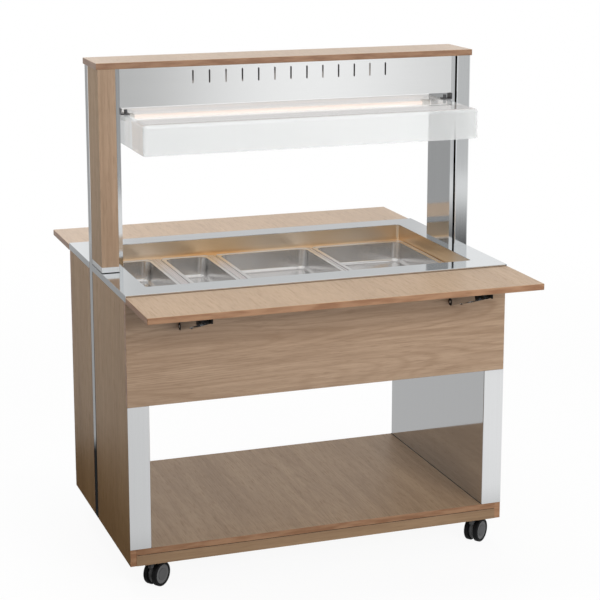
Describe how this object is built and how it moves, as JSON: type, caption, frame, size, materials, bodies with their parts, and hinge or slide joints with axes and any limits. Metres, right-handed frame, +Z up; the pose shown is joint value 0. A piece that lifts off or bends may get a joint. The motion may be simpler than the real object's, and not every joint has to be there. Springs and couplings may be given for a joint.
{
  "type": "heated buffet trolley",
  "caption": "Heated serving trolley: sunk well with steel pans, columns with slotted heat canopy and clear hood, folding wooden shelves, open compartment, twin-wheel casters.",
  "frame": {"origin": "on the floor under the middle of the trolley", "axes": "+X to the right along the trolley, +Y to the rear, +Z up"},
  "size_m": [1.206, 1.246, 1.538],
  "materials": {
    "polished_steel": "polished stainless steel",
    "well_steel": "fine ground stainless steel",
    "brushed_steel": "satin stainless steel",
    "pan_steel": "satin stainless steel",
    "oak_light": "pale oak laminate, matt",
    "oak_front": "grey-brown oak laminate, matt",
    "oak_side": "grey-brown oak laminate, matt",
    "oak_floor": "grey-brown oak laminate, matt",
    "clear_hood": "clear moulded sheet",
    "heat_tube": "quartz heat tube, glowing",
    "ceramic": "ceramic",
    "heater": "silicone heating mat",
    "chromed": "bright plated steel",
    "black_steel": "black powder coat",
    "black_plastic": "black moulded plastic",
    "caster_plastic": "dark grey moulded plastic",
    "caster_wheel": "black tread, grey hub"
  },
  "bodies": {
    "trolley": {"apron_front": "oak_front", "apron_rear": "oak_front", "bottom_board": "oak_floor", "canopy_front_panel": "brushed_steel", "canopy_rear_panel": "brushed_steel", "canopy_ribs": "brushed_steel", "caster_stems": "chromed", "column_collars": "polished_steel", "column_cover_left": "brushed_steel", "column_cover_right": "brushed_steel", "column_face_board_left": "oak_side", "column_face_board_right": "oak_side", "column_side_board_left": "oak_side", "column_side_board_right": "oak_side", "guard_clips": "chromed", "guard_knobs": "chromed", "heat_tube": "heat_tube", "heating_plates": "heater", "mains_inlet": "black_plastic", "outer_panel_left_front": "oak_side", "outer_panel_left_rear": "oak_side", "outer_panel_right_front": "oak_side", "outer_panel_right_rear": "oak_side", "pan_bars": "well_steel", "plinth_rails": "oak_floor", "post_left": "brushed_steel", "post_right": "brushed_steel", "reflector": "polished_steel", "shelf_hinge_brackets": "chromed", "stay_feet": "chromed", "thermostat_body": "black_plastic", "top_board": "oak_light", "tube_holders": "ceramic", "under_tray": "brushed_steel", "wall_lining_left": "polished_steel", "wall_lining_right": "polished_steel", "well_tank": "well_steel", "worktop": "polished_steel"},
    "front_shelf": {"front_shelf": "oak_light", "front_hinge_leaves": "chromed", "front_saddles": "black_plastic"},
    "rear_shelf": {"rear_shelf": "oak_light", "rear_hinge_leaves": "chromed", "rear_saddles": "black_plastic"},
    "front_stays": {"front_stays": "black_steel"},
    "rear_stays": {"rear_stays": "black_steel"},
    "sneeze_guard": {"sneeze_guard": "clear_hood"},
    "thermostat_knob": {"thermostat_knob": "black_plastic"},
    "pan_large_left": {"pan_large_left": "pan_steel"},
    "pan_large_right": {"pan_large_right": "pan_steel"},
    "pan_small_left": {"pan_small_left": "pan_steel"},
    "pan_small_right": {"pan_small_right": "pan_steel"},
    "caster_housing_front_left": {"caster_housing_front_left": "caster_plastic"},
    "caster_wheels_front_left": {"caster_wheels_front_left": "caster_wheel"},
    "caster_housing_front_right": {"caster_housing_front_right": "caster_plastic"},
    "caster_wheels_front_right": {"caster_wheels_front_right": "caster_wheel"},
    "caster_housing_rear_left": {"caster_housing_rear_left": "caster_plastic"},
    "caster_wheels_rear_left": {"caster_wheels_rear_left": "caster_wheel"},
    "caster_housing_rear_right": {"caster_housing_rear_right": "caster_plastic"},
    "caster_wheels_rear_right": {"caster_wheels_rear_right": "caster_wheel"}
  },
  "joints": [
    {"name": "front_shelf_fold", "type": "hinge", "parent": "trolley", "child": "front_shelf", "pos_m": [0, -0.392, 0.875], "axis": [1, 0, 0], "range_deg": [0, 90]},
    {"name": "rear_shelf_fold", "type": "hinge", "parent": "trolley", "child": "rear_shelf", "pos_m": [0, 0.392, 0.875], "axis": [-1, 0, 0], "range_deg": [0, 90]},
    {"name": "front_stay_swing", "type": "hinge", "parent": "trolley", "child": "front_stays", "pos_m": [0, -0.386, 0.808], "axis": [1, 0, 0], "range_deg": [0, 107.64]},
    {"name": "rear_stay_swing", "type": "hinge", "parent": "trolley", "child": "rear_stays", "pos_m": [0, 0.386, 0.808], "axis": [-1, 0, 0], "range_deg": [0, 107.64]},
    {"name": "guard_tilt", "type": "hinge", "parent": "trolley", "child": "sneeze_guard", "pos_m": [0, 0.03, 1.36], "axis": [1, 0, 0], "range_deg": [0, 60]},
    {"name": "thermostat_turn", "type": "hinge", "parent": "trolley", "child": "thermostat_knob", "pos_m": [0.4, 0.0875, 1.462], "axis": [0, 1, 0], "range_deg": [0, 270]},
    {"name": "pan_large_left_lift", "type": "slide", "parent": "trolley", "child": "pan_large_left", "axis": [0, 0, 1], "range_m": [0, 0.12]},
    {"name": "pan_large_right_lift", "type": "slide", "parent": "trolley", "child": "pan_large_right", "axis": [0, 0, 1], "range_m": [0, 0.12]},
    {"name": "pan_small_left_lift", "type": "slide", "parent": "trolley", "child": "pan_small_left", "axis": [0, 0, 1], "range_m": [0, 0.12]},
    {"name": "pan_small_right_lift", "type": "slide", "parent": "trolley", "child": "pan_small_right", "axis": [0, 0, 1], "range_m": [0, 0.12]},
    {"name": "swivel_front_left", "type": "hinge", "parent": "trolley", "child": "caster_housing_front_left", "pos_m": [-0.523, -0.332, 0.1], "axis": [0, 0, 1], "continuous": true},
    {"name": "roll_front_left", "type": "hinge", "parent": "caster_housing_front_left", "child": "caster_wheels_front_left", "pos_m": [-0.50703, -0.31996, 0.0375], "axis": [-0.6018, 0.7986, 0], "continuous": true},
    {"name": "swivel_front_right", "type": "hinge", "parent": "trolley", "child": "caster_housing_front_right", "pos_m": [0.523, -0.332, 0.1], "axis": [0, 0, 1], "continuous": true},
    {"name": "roll_front_right", "type": "hinge", "parent": "caster_housing_front_right", "child": "caster_wheels_front_right", "pos_m": [0.53897, -0.31996, 0.0375], "axis": [-0.6018, 0.7986, 0], "continuous": true},
    {"name": "swivel_rear_left", "type": "hinge", "parent": "trolley", "child": "caster_housing_rear_left", "pos_m": [-0.523, 0.332, 0.1], "axis": [0, 0, 1], "continuous": true},
    {"name": "roll_rear_left", "type": "hinge", "parent": "caster_housing_rear_left", "child": "caster_wheels_rear_left", "pos_m": [-0.50703, 0.34404, 0.0375], "axis": [-0.6018, 0.7986, 0], "continuous": true},
    {"name": "swivel_rear_right", "type": "hinge", "parent": "trolley", "child": "caster_housing_rear_right", "pos_m": [0.523, 0.332, 0.1], "axis": [0, 0, 1], "continuous": true},
    {"name": "roll_rear_right", "type": "hinge", "parent": "caster_housing_rear_right", "child": "caster_wheels_rear_right", "pos_m": [0.53897, 0.34404, 0.0375], "axis": [-0.6018, 0.7986, 0], "continuous": true}
  ],
  "couplings": [
    {"joint": "front_stay_swing", "follows": "front_shelf_fold", "ratio": 1.1954},
    {"joint": "rear_stay_swing", "follows": "rear_shelf_fold", "ratio": 1.1954}
  ]
}
